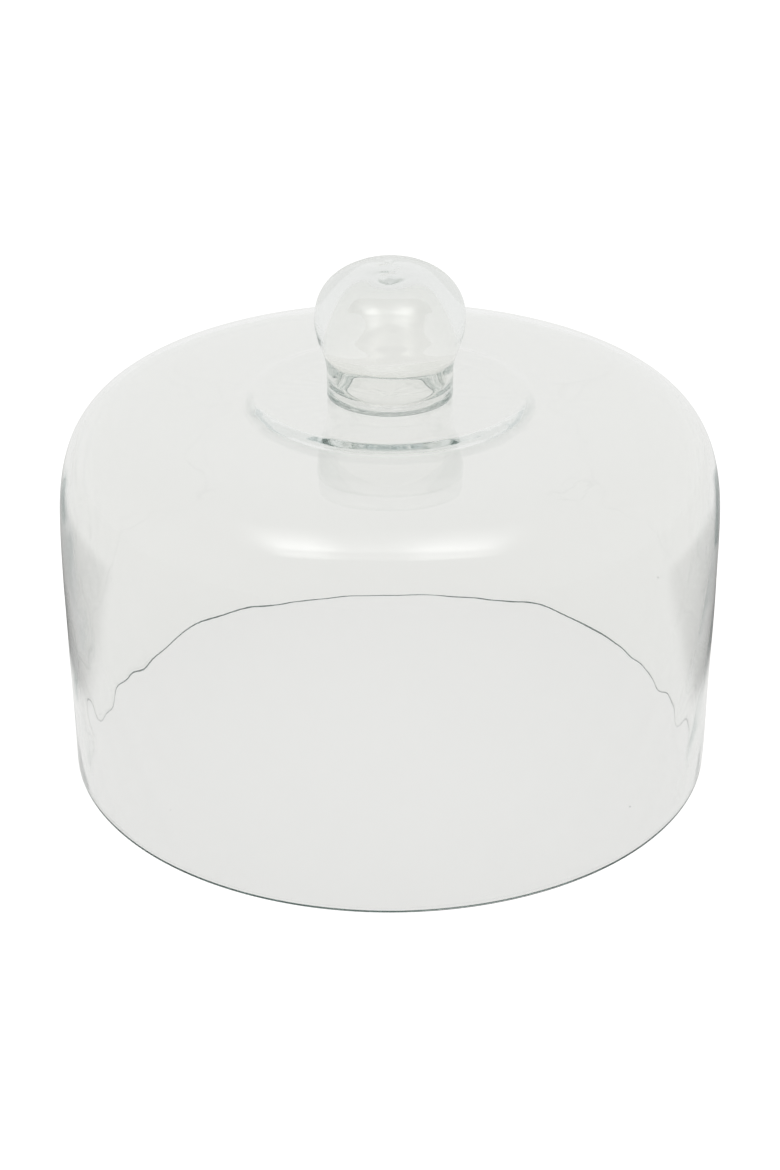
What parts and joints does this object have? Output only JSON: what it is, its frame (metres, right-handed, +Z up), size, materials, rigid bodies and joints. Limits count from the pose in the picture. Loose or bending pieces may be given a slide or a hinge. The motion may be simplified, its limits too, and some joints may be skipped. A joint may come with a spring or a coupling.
{
  "type": "glass cake dome",
  "caption": "Clear blown-glass cake dome: a straight-sided bell with rounded shoulders and a dished crown, lifted by a hollow ball knob sealed on top.",
  "frame": {"origin": "centre of the circle on which the rim stands", "axes": "+Z up along the dome's axis of revolution; the dome is round, so X and Y are any two level directions"},
  "size_m": [0.2624, 0.2624, 0.2091],
  "materials": {
    "bell_glass": "clear hand-blown glass, faintly green where it is thick",
    "knob_glass": "clear thick glass around a closed bubble"
  },
  "bodies": {
    "root": {"bell": "bell_glass", "knob": "knob_glass"}
  },
  "joints": []
}
